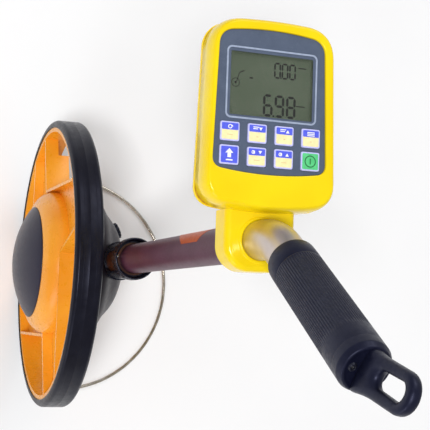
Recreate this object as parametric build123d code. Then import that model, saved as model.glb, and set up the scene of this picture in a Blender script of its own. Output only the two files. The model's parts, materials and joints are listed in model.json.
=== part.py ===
from build123d import *
import math
import os

# Digital measuring wheel, parked upright on its wheel and its wire stand.
# Modelled about the wheel centre: +X forward, +Y towards the hub cap, +Z up.
# place() then moves everything so that the origin is on the ground, under the
# middle of the whole object's outline. All lengths are in millimetres.

# ---- driving dimensions ----
WHEEL_R = 159.15            # one metre round
TYRE_HALF_WIDTH = 14.65
TREAD_HALF_WIDTH = 10.35
RIM_R = 151.0
RIM_INNER_R = 146.5
RIM_HALF_WIDTH = 13.5
HUB_R = 79.5
HUB_BACK_Y = -12.5
CAP_R = 61.0
CAP_SEAT_Y = 28.0
CAP_PEAK_Y = 48.0
WALL = 2.6

BEARING_OUTER_R = 11.0
BEARING_BORE_R = 4.0
BEARING_WIDTH = 7.0
REAR_BEARING_Y = -10.0
FRONT_BEARING_Y = 13.0

HOUSING_R = 80.0
HOUSING_BASE_Y = -24.8
HOUSING_PEAK_Y = -73.6
COVER_THICKNESS = 2.6
BOSS_R = 22.0

TUBE_X = 2.5
TUBE_Y = -53.5
TUBE_R = 15.0
TUBE_WALL = 2.0
SLIDE_GAP = 0.1
LABEL_LOW_Z = 313.0
LABEL_HIGH_Z = 370.0
LINER_R = 17.0
SOCKET_R = 19.6
SOCKET_FLOOR_Z = 6.0
SEAM_R = 20.8
SEAM_LOW_Z = 70.0
SEAM_HIGH_Z = 74.0
SOCKET_TOP_Z = 121.0
CLAMP_R = 21.6
CLAMP_BOTTOM_Z = 120.0
CLAMP_TOP_Z = 135.0

STAND_WIRE_R = 2.0
STAND_ARM_Y = -20.1
STAND_HOOP_R = 133.0
STAND_HOOP_X = -17.0
STAND_HOOP_Y = -43.0

HEAD_Y = TUBE_Y
SHELL_Y = HEAD_Y - 2.0
HEAD_REAR_X = 23.0
HEAD_FRONT_X = 168.0
HEAD_BOTTOM_Z = 449.0
HEAD_SPLIT_Z = 460.0
HEAD_TOP_Z = 484.2
PANEL_TOP_Z = 482.6
PANEL_THICKNESS = 1.7
PANEL_LEDGE = 1.2
LCD_X = 117.3
NECK_BOTTOM_Z = 445.0
NECK_TOP_Z = 470.0

GRIP_TILT = 31.2            # lean of the grip back from the tube, degrees
BEND_Z = 499.0              # height where the tube axis meets the grip axis
GRIP_R = 18.1
GRIP_START = 34.0           # along the grip axis from the bend point
GRIP_END = 155.0
END_FACE = 167.0
LOOP_TILT = 16.0            # lean of the hanging loop off the grip axis, degrees
LOOP_TWIST = 16.0           # turn of the loop about the grip axis, degrees

X_MID = (HEAD_FRONT_X - WHEEL_R) / 2
Y_MID = (CAP_PEAK_Y + STAND_HOOP_Y - STAND_HOOP_R - STAND_WIRE_R) / 2
GROUND_Z = -WHEEL_R


# ---- helpers ----
def slab(sketch, y_low, y_high):
    """A sketch drawn in X and Z, given a thickness from y_low to y_high."""
    return extrude(Plane.XZ.offset(-y_high) * sketch, y_high - y_low)


def turned(*points):
    """A solid of revolution about the Y axis from (radius, y) corners."""
    return revolve(make_face(Polyline(*points, close=True)), Axis.Y)


def ring_y(outer, inner, y_low, y_high):
    return turned((inner, y_low), (outer, y_low), (outer, y_high), (inner, y_high))


def disc_y(radius, y_low, y_high, x=0.0, z=0.0):
    return slab(Pos(x, z) * Circle(radius), y_low, y_high)


def post(radius, z_low, z_high, x=TUBE_X, y=TUBE_Y):
    """An upright cylinder."""
    return Pos(x, y, (z_low + z_high) / 2) * Cylinder(radius, z_high - z_low)


def sleeve(outer, inner, z_low, z_high, x=TUBE_X, y=TUBE_Y):
    return post(outer, z_low, z_high, x, y) - post(inner, z_low - 1, z_high + 1, x, y)


def block(x_low, x_high, y_low, y_high, z_low, z_high):
    middle = Pos((x_low + x_high) / 2, (y_low + y_high) / 2, (z_low + z_high) / 2)
    return middle * Box(x_high - x_low, y_high - y_low, z_high - z_low)


def strip(start, end, thickness):
    """A straight strip between two points of a sketch."""
    length = math.dist(start, end)
    angle = math.degrees(math.atan2(end[1] - start[1], end[0] - start[0]))
    return Pos(*start) * Rot(0, 0, angle) * Pos(length / 2, 0) * Rectangle(length, thickness)


# ---- wheel ----
def tyre():
    tongue = 149.0
    shoulder = WHEEL_R - TYRE_HALF_WIDTH + TREAD_HALF_WIDTH
    return turned(
        (RIM_R, -TYRE_HALF_WIDTH),
        (shoulder, -TYRE_HALF_WIDTH),
        (WHEEL_R, -TREAD_HALF_WIDTH),
        (WHEEL_R, TREAD_HALF_WIDTH),
        (shoulder, TYRE_HALF_WIDTH),
        (RIM_R, TYRE_HALF_WIDTH),
        (RIM_R, 5),
        (tongue, 4),
        (tongue, -4),
        (RIM_R, -5),
    )


def rim():
    band = ring_y(RIM_R, RIM_INNER_R, -RIM_HALF_WIDTH, RIM_HALF_WIDTH)
    groove = turned((149, -4), (152, -5.5), (152, 5.5), (149, 4))
    return band - groove


def spoke():
    """One broad tapered spoke: two side plates joined by a web."""
    plate = 3.0
    upper_root = (73.3, -6.1)
    upper_tip = (147.0, -30.4)
    lower_root = (-9.5, -HUB_R - 1.0)
    lower_tip = (123.5, -HUB_R - 1.0)
    upper = slab(strip(upper_root, upper_tip, plate), -TYRE_HALF_WIDTH + 1.8, 14.0)
    lower = slab(strip(lower_root, lower_tip, plate), -TYRE_HALF_WIDTH + 1.8, 14.0)
    notch_place = Rot(0, 18.2, 0) * Pos(137.0, -8.0, 17.1)
    notch = notch_place * Box(23.0, 14.0, 14.0)
    web_outline = Polygon(upper_root, upper_tip, (140, -55), lower_tip, lower_root, align=None)
    web = slab(web_outline, -1.25, 1.25)
    return (upper - notch) + lower + web


def spokes():
    reach = ring_y(RIM_INNER_R + 1, HUB_R - 2, -20, 20)
    one = spoke() & reach
    return [Rot(0, 90 * turn, 0) * one for turn in range(4)]


def hub_shell():
    outer = [
        Line((HUB_R, HUB_BACK_Y), (HUB_R, 4)),
        ThreePointArc((HUB_R, 4), (74.5, 20.0), (CAP_R + 1.0, CAP_SEAT_Y)),
        Line((CAP_R + 1.0, CAP_SEAT_Y), (12, CAP_SEAT_Y)),
        Line((12, CAP_SEAT_Y), (12, CAP_SEAT_Y - WALL)),
        Line((12, CAP_SEAT_Y - WALL), (CAP_R, CAP_SEAT_Y - WALL)),
        ThreePointArc((CAP_R, CAP_SEAT_Y - WALL), (72.2, 18.2), (HUB_R - WALL, 3)),
        Line((HUB_R - WALL, 3), (HUB_R - WALL, HUB_BACK_Y)),
        Line((HUB_R - WALL, HUB_BACK_Y), (HUB_R, HUB_BACK_Y)),
    ]
    return revolve(make_face(Wire(outer)), Axis.Y)


def hub_boss():
    boss = disc_y(16, HUB_BACK_Y, CAP_SEAT_Y - WALL / 2)
    rear_seat = disc_y(BEARING_OUTER_R, HUB_BACK_Y - 1, REAR_BEARING_Y + BEARING_WIDTH)
    front_seat = disc_y(BEARING_OUTER_R, FRONT_BEARING_Y, CAP_SEAT_Y + 1)
    through = disc_y(9.5, HUB_BACK_Y - 1, CAP_SEAT_Y + 1)
    return boss - rear_seat - front_seat - through


def hub_ribs():
    rib = block(15.0, HUB_R - WALL / 2, 2.0, CAP_SEAT_Y - WALL / 2, -1.1, 1.1)
    envelope = revolve(
        make_face(
            Wire([
                Line((0, -5), (HUB_R - 1, -5)),
                Line((HUB_R - 1, -5), (HUB_R - 1, 4)),
                ThreePointArc((HUB_R - 1, 4), (73.5, 19.5), (CAP_R, CAP_SEAT_Y - 1)),
                Line((CAP_R, CAP_SEAT_Y - 1), (0, CAP_SEAT_Y - 1)),
                Line((0, CAP_SEAT_Y - 1), (0, -5)),
            ])
        ),
        Axis.Y,
    )
    return [Rot(0, 45 * turn + 20, 0) * rib & envelope for turn in range(8)]


def peg_places():
    return [(46 * math.cos(a), 46 * math.sin(a)) for a in (0.5, 2.6, 4.7)]


def wheel_centre():
    body = hub_shell() + hub_boss() + hub_ribs()
    body = body + rim() + spokes()
    for x, z in peg_places():
        body -= disc_y(2.5, 15, CAP_SEAT_Y + 1, x, z)
    return body


def hub_cap():
    outside = ThreePointArc((0, CAP_PEAK_Y), (31.5, 42.9), (CAP_R, CAP_SEAT_Y + 0.8))
    inside = ThreePointArc((CAP_R - 3.2, CAP_SEAT_Y), (30.5, 40.4), (0, CAP_PEAK_Y - 2.6))
    dome = revolve(
        make_face(
            Wire([
                outside,
                Line((CAP_R, CAP_SEAT_Y + 0.8), (CAP_R, CAP_SEAT_Y)),
                Line((CAP_R, CAP_SEAT_Y), (CAP_R - 3.2, CAP_SEAT_Y)),
                inside,
                Line((0, CAP_PEAK_Y - 2.6), (0, CAP_PEAK_Y)),
            ])
        ),
        Axis.Y,
    )
    pegs = [disc_y(2.5, CAP_SEAT_Y - 5, 36.5, x, z) for x, z in peg_places()]
    return dome + pegs


def bearing_rings(outer, inner):
    seats = (REAR_BEARING_Y, FRONT_BEARING_Y)
    return Compound([ring_y(outer, inner, y, y + BEARING_WIDTH) for y in seats])


def bearing_balls():
    balls = []
    for y in (REAR_BEARING_Y, FRONT_BEARING_Y):
        for number in range(9):
            place = Rot(0, 40 * number, 0) * Pos(7.55, y + BEARING_WIDTH / 2, 0)
            balls.append(place * Sphere(1.32))
    return Compound(balls)


def magnet_ring():
    band = ring_y(24, 16, HUB_BACK_Y, HUB_BACK_Y + 3)
    gaps = [Rot(0, 36 * turn, 0) * block(22.6, 25, -13, -9, -0.6, 0.6) for turn in range(10)]
    return band - gaps


# ---- axle ----
def axle():
    return turned(
        (0, -33), (10, -33), (10, -27.4), (6, -27.4), (6, REAR_BEARING_Y),
        (BEARING_BORE_R, REAR_BEARING_Y), (BEARING_BORE_R, 27.5), (3.2, 28.5), (0, 28.5),
    )


def bearing_spacer():
    return ring_y(5.6, BEARING_BORE_R, REAR_BEARING_Y + BEARING_WIDTH, FRONT_BEARING_Y)


def axle_washer():
    low = FRONT_BEARING_Y + BEARING_WIDTH
    return ring_y(8.0, BEARING_BORE_R, low, low + 1.0)


def axle_nut():
    low = FRONT_BEARING_Y + BEARING_WIDTH + 1.0
    return slab(RegularPolygon(7.5, 6) - Circle(BEARING_BORE_R), low, low + 6.0)


# ---- fixed housing behind the wheel ----
def dome(radius, base_y, peak_y):
    """A solid dome. Its side curve bulges between the base and the peak."""
    depth = base_y - peak_y
    side = Spline(
        (radius, base_y - 0.06 * depth),
        (0.79 * radius, base_y - 0.47 * depth),
        (0.62 * radius, base_y - 0.70 * depth),
        (0.34 * radius, base_y - 0.91 * depth),
        (0, peak_y),
        tangents=[(0, -1), (-1, 0)],
    )
    return revolve(
        make_face(
            Wire([
                Line((0, base_y), (radius, base_y)),
                Line((radius, base_y), (radius, base_y - 0.06 * depth)),
                side,
                Line((0, peak_y), (0, base_y)),
            ])
        ),
        Axis.Y,
    )


def cover_screw_places():
    return [(69 * math.cos(a), 69 * math.sin(a)) for a in (0.785, 2.356, 3.927, 5.498)]


def cover_screw_blank(x, z):
    head = disc_y(3.0, HOUSING_BASE_Y - 1.6, HOUSING_BASE_Y, x, z)
    return head + disc_y(1.5, HOUSING_BASE_Y - 11, HOUSING_BASE_Y - 1.6, x, z)


def cover_screws():
    screws = []
    for x, z in cover_screw_places():
        slot = slab(Pos(x, z) * Rectangle(4.4, 0.8), HOUSING_BASE_Y - 0.7, HOUSING_BASE_Y + 1)
        screws.append(cover_screw_blank(x, z) - slot)
    return Compound(screws)


def cover_screw_holes():
    return [cover_screw_blank(x, z) for x, z in cover_screw_places()]


def port_frame():
    """Local frame of the screw cap: its +Z points out of the housing."""
    outward = (0.415, -0.91, 0.0)
    return Plane(origin=(38.2, -62.6, 2.0), x_dir=(0, 0, 1), z_dir=outward)


def port_drum(radius, low, high):
    return port_frame() * (Pos(0, 0, (low + high) / 2) * Cylinder(radius, high - low))


def hub_housing():
    shell = dome(HOUSING_R, HOUSING_BASE_Y, HOUSING_PEAK_Y)
    hollow = dome(HOUSING_R - 2.8, HOUSING_BASE_Y + 0.01, HOUSING_PEAK_Y + 3.0)
    posts = [disc_y(4.2, -50, HOUSING_BASE_Y - COVER_THICKNESS, x, z) for x, z in cover_screw_places()]
    solid = (shell - hollow) + [column & shell for column in posts]
    solid -= disc_y(HOUSING_R - 1.2, HOUSING_BASE_Y - COVER_THICKNESS, HOUSING_BASE_Y + 1)
    solid += port_drum(9.2, -7, 1.0) & (shell + port_drum(9.2, -3, 1.0))
    solid -= port_drum(5.05, -10, 6)
    solid -= port_drum(10.0, 1.0, 9.0)
    solid -= cover_screw_holes()
    solid -= post(SEAM_R + 0.3, SEAM_LOW_Z - 0.3, SEAM_HIGH_Z + 0.3)
    return solid - post(SOCKET_R, SOCKET_FLOOR_Z, SOCKET_TOP_Z)


def housing_cover():
    disc = disc_y(HOUSING_R - 1.2, HOUSING_BASE_Y - COVER_THICKNESS, HOUSING_BASE_Y)
    boss = disc_y(BOSS_R, HOUSING_BASE_Y - COVER_THICKNESS, -15.8)
    clip_groove = ring_y(BOSS_R + 1, 20.6, -17.3, -16.1)
    bore = disc_y(6.0, -40, 0)
    return disc + boss - clip_groove - bore - cover_screw_holes()


def sensor_board():
    plate = block(14, 42, -29.2, -27.6, -9, 9)
    chip = block(18, 24, -30.4, -29.2, -3, 3)
    header = block(32, 39, -33.0, -29.2, -6, 6)
    return plate + chip + header


def port_cap():
    """Serrated screw cap with its short plug."""
    crown = port_drum(9.3, 1.3, 6.6)
    flutes = []
    for number in range(12):
        angle = math.radians(30 * number)
        place = Pos(10.3 * math.cos(angle), 10.3 * math.sin(angle), 3.9)
        flutes.append(port_frame() * (place * Cylinder(1.9, 8)))
    coin_slot = port_frame() * (Pos(0, 0, 6.6) * Box(10, 1.6, 2.4))
    return crown + port_drum(5.0, -6, 1.4) - flutes - coin_slot


# ---- tube socket and clamp ----
def socket_window():
    outline = Pos(TUBE_X - 2.0, 99.0) * Rectangle(21, 36)
    opening = slab(outline, TUBE_Y + 8, TUBE_Y + 30)
    return chamfer(opening.edges().filter_by(Axis.Y), 4.0)


def tube_socket():
    body = post(SOCKET_R, SOCKET_FLOOR_Z, CLAMP_BOTTOM_Z - 0.6)
    neck = post(18.2, SOCKET_FLOOR_Z, SOCKET_TOP_Z)
    seam = sleeve(SEAM_R, SOCKET_R - 0.5, SEAM_LOW_Z, SEAM_HIGH_Z)
    solid = body + neck + seam
    solid -= post(LINER_R, SOCKET_FLOOR_Z + 3, SOCKET_TOP_Z + 1)
    return solid - socket_window()


def tube_liner():
    top = SOCKET_TOP_Z + 5.0
    return sleeve(LINER_R, TUBE_R + SLIDE_GAP, SOCKET_FLOOR_Z + 3, top)


def clamp_collet():
    """Split ring round the top of the liner, squeezed by the clamp ring."""
    collet = sleeve(18.2, LINER_R, SOCKET_TOP_Z, SOCKET_TOP_Z + 5.0)
    cuts = [
        Pos(TUBE_X, TUBE_Y, SOCKET_TOP_Z + 3) * Rot(0, 0, 60 * turn + 15) * Pos(18, 0, 0) * Box(4, 1.0, 8)
        for turn in range(6)
    ]
    return collet - cuts


def clamp_ring():
    """Ring with a faceted skirt and an open cup, which squeezes the collet as it turns."""
    facets = Pos(TUBE_X, TUBE_Y) * RegularPolygon(CLAMP_R + 0.5, 16)
    skirt = Pos(0, 0, CLAMP_BOTTOM_Z) * extrude(facets, 10)
    ring = skirt + post(CLAMP_R, CLAMP_BOTTOM_Z + 10, CLAMP_TOP_Z)
    ring -= post(18.6, CLAMP_BOTTOM_Z - 1, SOCKET_TOP_Z + 6)
    ring -= post(19.4, SOCKET_TOP_Z + 6, CLAMP_TOP_Z + 1)
    rims = ring.edges().filter_by(GeomType.CIRCLE).group_by(Axis.Z)[-1]
    return fillet(rims, 0.9)


# ---- wire stand ----
def stand_arm_direction(side):
    corner_x = STAND_HOOP_X + side * STAND_HOOP_R
    corner_z = GROUND_Z + STAND_WIRE_R
    length = math.hypot(corner_x, corner_z)
    return corner_x / length, corner_z / length


def stand_path():
    """Arm, ground hoop and second arm, as one bent wire."""
    ground = GROUND_Z + STAND_WIRE_R
    front = STAND_HOOP_X + STAND_HOOP_R
    rear = STAND_HOOP_X - STAND_HOOP_R
    front_dir = stand_arm_direction(1)
    rear_dir = stand_arm_direction(-1)
    root = 30.0
    bend = 9.0
    lead_front = Vector(front, STAND_ARM_Y, ground)
    lead_rear = Vector(rear, STAND_ARM_Y, ground)
    arm_front = Vector(front_dir[0], 0, front_dir[1])
    arm_rear = Vector(rear_dir[0], 0, rear_dir[1])
    out = Vector(0, -1, 0)
    start = Vector(root * front_dir[0], STAND_ARM_Y, root * front_dir[1])
    finish = Vector(root * rear_dir[0], STAND_ARM_Y, root * rear_dir[1])
    front_in = lead_front - arm_front * bend
    front_out = lead_front + out * bend
    rear_out = lead_rear + out * bend
    rear_in = lead_rear - arm_rear * bend
    arm_1 = Line(start, front_in)
    bend_1 = TangentArc(front_in, front_out, tangent=arm_front)
    side_1 = Line(front_out, (front, STAND_HOOP_Y, ground))
    hoop = ThreePointArc(
        (front, STAND_HOOP_Y, ground),
        (STAND_HOOP_X, STAND_HOOP_Y - STAND_HOOP_R, ground),
        (rear, STAND_HOOP_Y, ground),
    )
    side_2 = Line((rear, STAND_HOOP_Y, ground), rear_out)
    bend_2 = TangentArc(rear_in, rear_out, tangent=arm_rear)
    arm_2 = Line(rear_in, finish)
    return Wire([arm_1, bend_1, side_1, hoop, side_2, bend_2, arm_2])


def stand_wire():
    path = stand_path()
    front_dir = stand_arm_direction(1)
    start = Plane(origin=path @ 0, z_dir=(front_dir[0], 0, front_dir[1]))
    return sweep(start * Circle(STAND_WIRE_R), path=path)


def stand_ring(wire):
    ring = ring_y(36, BOSS_R + 0.08, -22.6, -17.6)
    lugs = []
    for side in (1, -1):
        direction = stand_arm_direction(side)
        root = (28 * direction[0], 28 * direction[1])
        tip = (48 * direction[0], 48 * direction[1])
        lugs.append(slab(strip(root, tip, 12), -22.6, -17.6))
    return ring + lugs - wire


def stand_washer():
    return ring_y(34, BOSS_R, HOUSING_BASE_Y, -22.9)


def stand_retainer():
    clip = ring_y(26.5, 20.6, -17.3, -16.1)
    return clip - block(-3, 3, -18, -15, 10, 30)


# ---- upper tube ----
def tube():
    return sleeve(TUBE_R, TUBE_R - TUBE_WALL, SOCKET_FLOOR_Z + 4.5, NECK_BOTTOM_Z + 6)


def tube_foot():
    low = SOCKET_FLOOR_Z + 3.4
    collar = post(TUBE_R, low, low + 1.1)
    plug = post(TUBE_R - TUBE_WALL, low + 1.1, low + 16)
    return collar + plug - post(9, low + 4, low + 20)


def tube_label():
    """Thin label round the front of the tube, with a slanted cut at each end."""
    centre = Pos(TUBE_X, TUBE_Y)
    skin = sleeve(TUBE_R + 0.2, TUBE_R, 250, 420)
    front = centre * Rot(0, 0, 26.75) * Pos(30.3, 0, 330) * Box(40, 60, 200)
    below = centre * Pos(0, 0, LABEL_LOW_Z) * Rot(0, 0, 142.5) * Rot(0, -65.6, 0) * Pos(0, 0, -60) * Box(300, 300, 120)
    above = centre * Pos(0, 0, LABEL_HIGH_Z) * Rot(0, 0, 142.5) * Rot(0, 38.7, 0) * Pos(0, 0, 60) * Box(300, 300, 120)
    return (skin & front) - below - above


# ---- neck and handle ----
def head_outline(inset=0.0):
    front_half = 49.5 - inset
    rear_half = 53.0 - inset
    front = HEAD_FRONT_X - inset
    rear = HEAD_REAR_X + inset
    front_corner_x = front - 3.0
    rear_corner_x = rear + 6.0
    edges = [
        ThreePointArc(
            (front_corner_x, SHELL_Y + front_half), (front, SHELL_Y), (front_corner_x, SHELL_Y - front_half)
        ),
        Line((front_corner_x, SHELL_Y - front_half), (rear_corner_x, SHELL_Y - rear_half)),
        ThreePointArc(
            (rear_corner_x, SHELL_Y - rear_half), (rear, SHELL_Y), (rear_corner_x, SHELL_Y + rear_half)
        ),
        Line((rear_corner_x, SHELL_Y + rear_half), (front_corner_x, SHELL_Y + front_half)),
    ]
    face = make_face(Wire(edges))
    middle_x = (front + rear) / 2
    front_corners = [v for v in face.vertices() if v.X > middle_x]
    face = fillet(front_corners, 20.0 - inset)
    rear_corners = [v for v in face.vertices() if v.X < middle_x - 45]
    return fillet(rear_corners, 15.0 - inset)


def head_block(inset, z_low, z_high):
    return Pos(0, 0, z_low) * extrude(head_outline(inset), z_high - z_low)


def neck():
    outline = Pos(14.5, TUBE_Y) * RectangleRounded(71, 56, 20)
    body = Pos(0, 0, NECK_BOTTOM_Z) * extrude(outline, NECK_TOP_Z - NECK_BOTTOM_Z)
    body = fillet(body.edges().group_by(Axis.Z)[-1], 5.0)
    body = fillet(body.edges().group_by(Axis.Z)[0], 3.0)
    body -= head_block(0, NECK_BOTTOM_Z - 1, NECK_TOP_Z + 1)
    return body - post(TUBE_R, NECK_BOTTOM_Z - 1, NECK_TOP_Z + 1)


def grip_point(along):
    lean = math.radians(GRIP_TILT)
    return Vector(TUBE_X - along * math.sin(lean), TUBE_Y, BEND_Z + along * math.cos(lean))


def grip_frame(along):
    """Local frame on the grip axis: +Z up the grip, +X to the front."""
    lean = math.radians(GRIP_TILT)
    return Plane(
        origin=grip_point(along),
        x_dir=(math.cos(lean), 0, math.sin(lean)),
        z_dir=(-math.sin(lean), 0, math.cos(lean)),
    )


def grip_drum(radius, low, high):
    return grip_frame(low) * (Pos(0, 0, (high - low) / 2) * Cylinder(radius, high - low))


def handle_tube():
    start = (TUBE_X, TUBE_Y, NECK_BOTTOM_Z + 6.5)
    corner = (TUBE_X, TUBE_Y, BEND_Z)
    path = FilletPolyline(start, corner, grip_point(GRIP_END + 3), radius=70)
    section = Plane(origin=start, z_dir=(0, 0, 1)) * (Circle(TUBE_R) - Circle(TUBE_R - TUBE_WALL))
    return sweep(section, path=path)


def grip():
    body = grip_drum(GRIP_R, GRIP_START, GRIP_END)
    body = fillet(body.edges().filter_by(GeomType.CIRCLE), 1.6)
    return body - grip_drum(TUBE_R, GRIP_START - 5, GRIP_END + 5)


def loop_frame():
    """Local frame of the hanging loop: +X along the loop, +Z across its thickness."""
    base = grip_frame(END_FACE)
    twisted = base * Rot(0, 0, -LOOP_TWIST) * Rot(0, LOOP_TILT, 0)
    return twisted * Rot(0, -90, 0) * Rot(90, 0, 0)


def hanging_loop():
    outer = Pos(20, 0) * SlotOverall(66, 27)
    body = Pos(0, 0, -4.5) * extrude(outer, 9)
    body = fillet(body.edges().group_by(Axis.Z)[-1] + body.edges().group_by(Axis.Z)[0], 3.2)
    return loop_frame() * body


def loop_hole():
    return loop_frame() * (Pos(0, 0, -10) * extrude(Pos(28.5, 0) * SlotOverall(31, 11.5), 20))


def end_cap():
    body = grip_drum(GRIP_R + 0.2, GRIP_END + 0.4, END_FACE)
    body = fillet(body.edges().filter_by(GeomType.CIRCLE), 1.8)
    dish = grip_drum(GRIP_R - 3.0, END_FACE - 1.2, END_FACE + 2)
    loop = hanging_loop() - grip_drum(GRIP_R + 30, END_FACE - 60, END_FACE - 7)
    body = body - dish + loop - loop_hole()
    return body - grip_drum(TUBE_R, GRIP_END - 5, GRIP_END + 3) - end_cap_screw()


def end_cap_screw():
    frame = grip_frame(END_FACE - 1.2)
    head = frame * (Pos(1.4, 9.6, 0.7) * Cylinder(2.6, 1.4))
    shank = frame * (Pos(1.4, 9.6, -4) * Cylinder(1.3, 8))
    socket = frame * (Pos(1.4, 9.6, 1.6) * Cylinder(1.1, 1.8))
    return head + shank - socket


# ---- head ----
def panel_outline(inset=0.0):
    edges = [
        ThreePointArc((154.5, HEAD_Y + 42), (158.5, HEAD_Y), (154.5, HEAD_Y - 42)),
        Line((154.5, HEAD_Y - 42), (54.5, HEAD_Y - 45)),
        ThreePointArc((54.5, HEAD_Y - 45), (50.5, HEAD_Y), (54.5, HEAD_Y + 45)),
        Line((54.5, HEAD_Y + 45), (154.5, HEAD_Y + 42)),
    ]
    face = make_face(Wire(edges))
    face = fillet([v for v in face.vertices() if v.X > 100], 11.0)
    face = fillet([v for v in face.vertices() if v.X < 60], 7.0)
    if inset:
        face = offset(face, -inset, kind=Kind.INTERSECTION)
    return face


def panel_block(inset, z_low, z_high):
    return Pos(0, 0, z_low) * extrude(panel_outline(inset), z_high - z_low)


def head_screw_places():
    return [(44, HEAD_Y + 38), (44, HEAD_Y - 38), (152, HEAD_Y + 36), (152, HEAD_Y - 36)]


def head_screw_blank(x, y):
    head = post(2.9, HEAD_BOTTOM_Z + 1.0, HEAD_BOTTOM_Z + 3.0, x, y)
    return head + post(1.5, HEAD_BOTTOM_Z + 3.0, 475, x, y)


def head_screws():
    screws = []
    for x, y in head_screw_places():
        slot = block(x - 2.2, x + 2.2, y - 0.4, y + 0.4, HEAD_BOTTOM_Z, HEAD_BOTTOM_Z + 1.8)
        screws.append(head_screw_blank(x, y) - slot)
    return Compound(screws)


def head_screw_holes():
    return [head_screw_blank(x, y) for x, y in head_screw_places()]


def head_front_shell():
    low = HEAD_SPLIT_Z + 0.6
    body = head_block(0, low, HEAD_TOP_Z)
    body = fillet(body.edges().group_by(Axis.Z)[-1], 7.0)
    body -= head_block(2.6, low - 1, PANEL_TOP_Z - PANEL_THICKNESS - 2.4)
    body -= panel_block(0, PANEL_TOP_Z - PANEL_THICKNESS, HEAD_TOP_Z + 1)
    body -= panel_block(PANEL_LEDGE, HEAD_SPLIT_Z, HEAD_TOP_Z)
    ledge_z = PANEL_TOP_Z - PANEL_THICKNESS
    body += [post(3.6, low, ledge_z, x, y) & head_block(1, low, ledge_z) for x, y in head_screw_places()]
    return body - head_screw_holes()


def battery_opening():
    return block(62, 120, HEAD_Y - 26, HEAD_Y + 26, HEAD_BOTTOM_Z - 1, HEAD_BOTTOM_Z + 4)


def head_rear_shell():
    high = HEAD_SPLIT_Z - 0.6
    body = head_block(0, HEAD_BOTTOM_Z, high)
    body = fillet(body.edges().group_by(Axis.Z)[0], 9.0)
    cavity = head_block(2.6, HEAD_BOTTOM_Z + 2.8, high + 1)
    cavity = fillet(cavity.edges().group_by(Axis.Z)[0], 6.0)
    body -= cavity
    body += [post(4.2, HEAD_BOTTOM_Z + 1, high, x, y) for x, y in head_screw_places()]
    body -= [post(3.0, HEAD_BOTTOM_Z - 1, HEAD_BOTTOM_Z + 1.2, x, y) for x, y in head_screw_places()]
    body -= block(56, 175, HEAD_Y - 31, HEAD_Y + 31, HEAD_BOTTOM_Z - 1, HEAD_BOTTOM_Z + 1.6)
    return body - battery_opening() - head_screw_holes()


def shell_gasket():
    low = HEAD_SPLIT_Z - 0.6
    high = HEAD_SPLIT_Z + 0.6
    return head_block(0.7, low, high) - head_block(2.2, low - 1, high + 1)


def battery_door():
    plate = block(56.3, 146, HEAD_Y - 30.7, HEAD_Y + 30.7, HEAD_BOTTOM_Z - 1.1, HEAD_BOTTOM_Z + 1.3)
    plate = fillet(plate.edges().filter_by(Axis.Z), 4.0)
    ridges = [
        block(x, x + 1.4, HEAD_Y - 12, HEAD_Y + 12, HEAD_BOTTOM_Z - 1.9, HEAD_BOTTOM_Z - 1.0)
        for x in (120, 123, 126, 129, 132)
    ]
    return plate + ridges


def battery_places():
    return [70.5 + 14.9 * number for number in range(4)]


def batteries():
    cells = []
    for number, x in enumerate(battery_places()):
        side = 1 if number % 2 == 0 else -1
        can = Rot(90, 0, 0) * Cylinder(7.1, 48.5)
        nub = Pos(0, side * 24.9, 0) * Rot(90, 0, 0) * Cylinder(2.7, 1.4)
        cells.append(Pos(x, HEAD_Y, 460.6) * (can + nub))
    return Compound(cells)


def battery_holder():
    body = block(62.6, 123.2, HEAD_Y - 28, HEAD_Y + 28, 452.6, 469.4)
    body -= block(63.0, 122.8, HEAD_Y - 27.0, HEAD_Y + 27.0, 450, 468.0)
    return body


def battery_contacts():
    plates = []
    for number, x in enumerate(battery_places()):
        side = 1 if number % 2 == 0 else -1
        y_plus = HEAD_Y + side * 26.3
        y_minus = HEAD_Y - side * 25.4
        plates.append(Pos(x, y_plus, 460.6) * Box(9, 0.6, 9))
        plates.append(Pos(x, y_minus, 460.6) * Rot(90, 0, 0) * (Cylinder(4.0, 1.8) - Cylinder(3.0, 4)))
    return Compound(plates)


def main_board():
    board = block(48, 160, HEAD_Y - 38, HEAD_Y + 38, 473.4, 475.0)
    for x, y in head_screw_places():
        board -= post(4.2, 470, 480, x, y)
    return board


def board_components():
    chip = block(60, 74, HEAD_Y - 34, HEAD_Y - 20, 471.4, 473.4)
    buzzer = post(6, 470.0, 473.4, 136, HEAD_Y - 22)
    crystal = block(80, 91, HEAD_Y - 36, HEAD_Y - 32, 470.4, 473.4)
    connector = block(50, 56, HEAD_Y - 8, HEAD_Y + 8, 468.6, 473.4)
    return Compound([chip, buzzer, crystal, connector])


def lcd_module():
    body = block(LCD_X - 27.5, LCD_X + 27.5, HEAD_Y - 37, HEAD_Y + 37, 475.0, 480.3)
    return chamfer(body.edges().group_by(Axis.Z)[-1], 0.5)


def display_lens():
    lens = Pos(LCD_X, HEAD_Y, 480.3) * extrude(RectangleRounded(51.4, 70.4, 3), 1.9)
    return lens


def display_bezel():
    frame = RectangleRounded(54, 73, 4.2) - RectangleRounded(51.4, 70.4, 3)
    return Pos(LCD_X, HEAD_Y, PANEL_TOP_Z) * extrude(frame, 0.35)


KEY_ROWS = (80.3, 62.9)
KEY_COLUMNS = (32.4, 10.8, -10.8, -32.4)
KEY_NAMES = (
    "key_mode", "key_down", "key_up", "key_info",
    "key_shift", "key_store", "key_recall", "key_power",
)
KEY_LENGTH = 14.4
KEY_WIDTH = 15.2


def key_places():
    return [(x, HEAD_Y + y) for x in KEY_ROWS for y in KEY_COLUMNS]


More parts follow.
